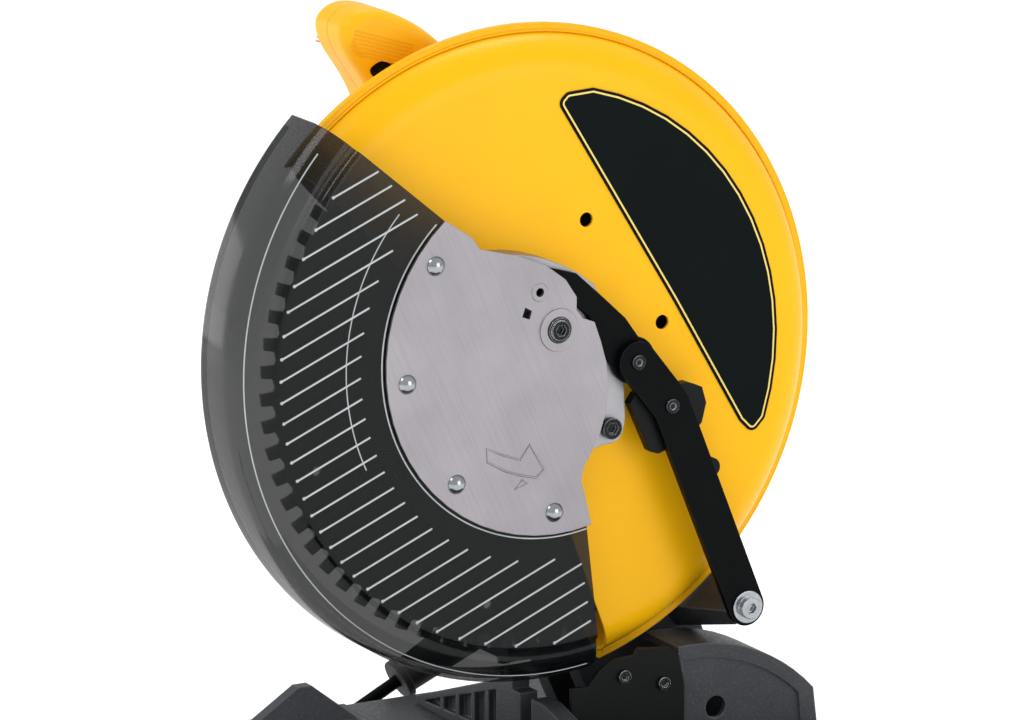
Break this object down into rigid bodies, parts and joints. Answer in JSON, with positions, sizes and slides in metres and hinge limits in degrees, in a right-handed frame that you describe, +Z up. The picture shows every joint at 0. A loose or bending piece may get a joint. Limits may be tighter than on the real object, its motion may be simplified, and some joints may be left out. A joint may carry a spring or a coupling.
{
  "type": "metal cutting chop saw",
  "caption": "Benchtop metal chop saw: base with fence and screw vise, sprung hinged head with toothed blade, fixed guard, linked see-through lower guard, motor and D-handle.",
  "frame": {"origin": "centre of the four bench bolt holes, in the plane under the feet", "axes": "+Z up, -Y towards the operator, +X towards the linked guard's side; blade plane at x = 0"},
  "size_m": [0.359, 0.652, 0.5189],
  "materials": {
    "guard_yellow": "satin powder coat",
    "yellow_plastic": "moulded nylon, satin",
    "black_plastic": "moulded, fine texture",
    "black_panel": "printed film",
    "smoked_shield": "smoked polycarbonate",
    "brushed_plate": "linished",
    "cast_silver": "bead-blasted die casting",
    "cast_grey": "textured grey paint",
    "black_steel": "black textured paint",
    "steel": "machined",
    "zinc": "bright zinc plate",
    "blade_steel": "dark coated",
    "rubber": "matt",
    "bronze": "sintered",
    "winding": "enamelled copper on laminations"
  },
  "bodies": {
    "base": {"base_casting": "cast_grey", "rubber_feet": "rubber", "pivot_bracket": "cast_grey", "pivot_shaft": "steel", "shaft_clip": "black_steel", "pivot_spring": "black_steel", "stop_bolt": "zinc", "rear_hood": "cast_grey", "chip_plate": "black_plastic", "chip_plate_screws": "black_steel", "link_screw": "zinc", "fence_pivot_bolt": "zinc", "vise_nut": "cast_grey"},
    "lock_pin": {"lock_pin": "zinc"},
    "fence": {"fence": "cast_grey", "fence_lock": "black_plastic"},
    "vise_jaw": {"vise_carriage": "cast_grey"},
    "vise_screw": {"vise_screw": "steel", "vise_crank": "black_steel"},
    "crank_grip": {"crank_grip": "black_plastic"},
    "release_lever": {"release_lever": "black_steel", "lever_grip": "rubber"},
    "head": {"upper_guard_near": "guard_yellow", "upper_guard_far": "guard_yellow", "guard_badge": "black_panel", "guard_hub": "cast_silver", "hub_screws": "black_steel", "head_casting": "cast_silver", "gear_cover": "cast_silver", "pivot_bushes": "bronze", "spindle_bearings": "steel", "motor_bearings": "steel", "stator": "winding", "motor_housing": "yellow_plastic", "motor_end_cap": "black_plastic", "brush_sets": "black_plastic", "handle_left": "yellow_plastic", "handle_right": "yellow_plastic", "handle_screws": "black_steel", "power_switch": "black_plastic", "inlet_gland": "black_plastic", "guard_pivot_screw": "zinc", "guard_spring": "steel"},
    "spindle": {"spindle": "steel", "spindle_gear": "steel", "blade": "blade_steel", "blade_flanges": "steel", "arbor_bolt": "zinc"},
    "armature": {"armature": "winding", "motor_fan": "black_plastic"},
    "trigger": {"trigger": "black_plastic"},
    "spindle_lock": {"spindle_lock": "black_plastic"},
    "lower_guard": {"lower_guard_shield": "smoked_shield", "lower_guard_plate": "brushed_plate", "plate_rivets": "zinc"},
    "guard_link": {"link_upper": "black_steel", "link_lower": "black_steel", "link_pad": "black_plastic", "link_rivets": "zinc"}
  },
  "joints": [
    {"name": "head_pivot", "type": "hinge", "parent": "base", "child": "head", "pos_m": [-0.065, 0.105, 0.145], "axis": [1, 0, 0], "range_deg": [0, 44], "stiffness_Nm_per_rad": 9, "springref_deg": -74.48},
    {"name": "spindle_spin", "type": "hinge", "parent": "head", "child": "spindle", "pos_m": [0, 0.045, 0.305], "axis": [1, 0, 0], "continuous": true},
    {"name": "armature_spin", "type": "hinge", "parent": "head", "child": "armature", "pos_m": [-0.12, 0.097, 0.3301], "axis": [1, 0, 0], "continuous": true},
    {"name": "lower_guard_turn", "type": "hinge", "parent": "head", "child": "lower_guard", "pos_m": [0.035, 0.0477, 0.3306], "axis": [1, 0, 0], "range_deg": [-110, 0]},
    {"name": "guard_link_swing", "type": "hinge", "parent": "base", "child": "guard_link", "pos_m": [0.034, 0.1794, 0.1429], "axis": [1, 0, 0], "range_deg": [0, 28.6]},
    {"name": "trigger_pull", "type": "hinge", "parent": "head", "child": "trigger", "pos_m": [-0.06, 0, 0.479], "axis": [1, 0, 0], "range_deg": [-6, 0], "stiffness_Nm_per_rad": 0.4, "springref_deg": 8.59},
    {"name": "spindle_lock_push", "type": "slide", "parent": "head", "child": "spindle_lock", "axis": [0, 1, 0], "range_m": [0, 0.006], "stiffness_N_per_m": 300, "springref_m": -0.004},
    {"name": "fence_swivel", "type": "hinge", "parent": "base", "child": "fence", "pos_m": [-0.07, 0.071, 0.06], "axis": [0, 0, 1], "range_deg": [-45, 0]},
    {"name": "vise_jaw_slide", "type": "slide", "parent": "base", "child": "vise_jaw", "axis": [0, 1, 0], "range_m": [-0.06, 0.078]},
    {"name": "vise_screw_turn", "type": "hinge", "parent": "vise_jaw", "child": "vise_screw", "pos_m": [-0.04, -0.114, 0.072], "axis": [0, 1, 0], "range_deg": [-3600, 4680]},
    {"name": "crank_grip_spin", "type": "hinge", "parent": "vise_screw", "child": "crank_grip", "pos_m": [-0.04, -0.376, 0.124], "axis": [0, 1, 0], "continuous": true},
    {"name": "release_lever_lift", "type": "hinge", "parent": "base", "child": "release_lever", "pos_m": [-0.176, -0.019, 0.0253], "axis": [1, 0, 0], "range_deg": [0, 45]},
    {"name": "lock_pin_slide", "type": "slide", "parent": "base", "child": "lock_pin", "axis": [1, 0, 0], "range_m": [0, 0.008]}
  ],
  "couplings": [
    {"joint": "armature_spin", "follows": "spindle_spin", "ratio": -6},
    {"joint": "lower_guard_turn", "follows": "head_pivot", "ratio": -2.5},
    {"joint": "guard_link_swing", "follows": "head_pivot", "ratio": 0.65},
    {"joint": "vise_jaw_slide", "follows": "vise_screw_turn", "m_per_rad": 0.00095493}
  ]
}
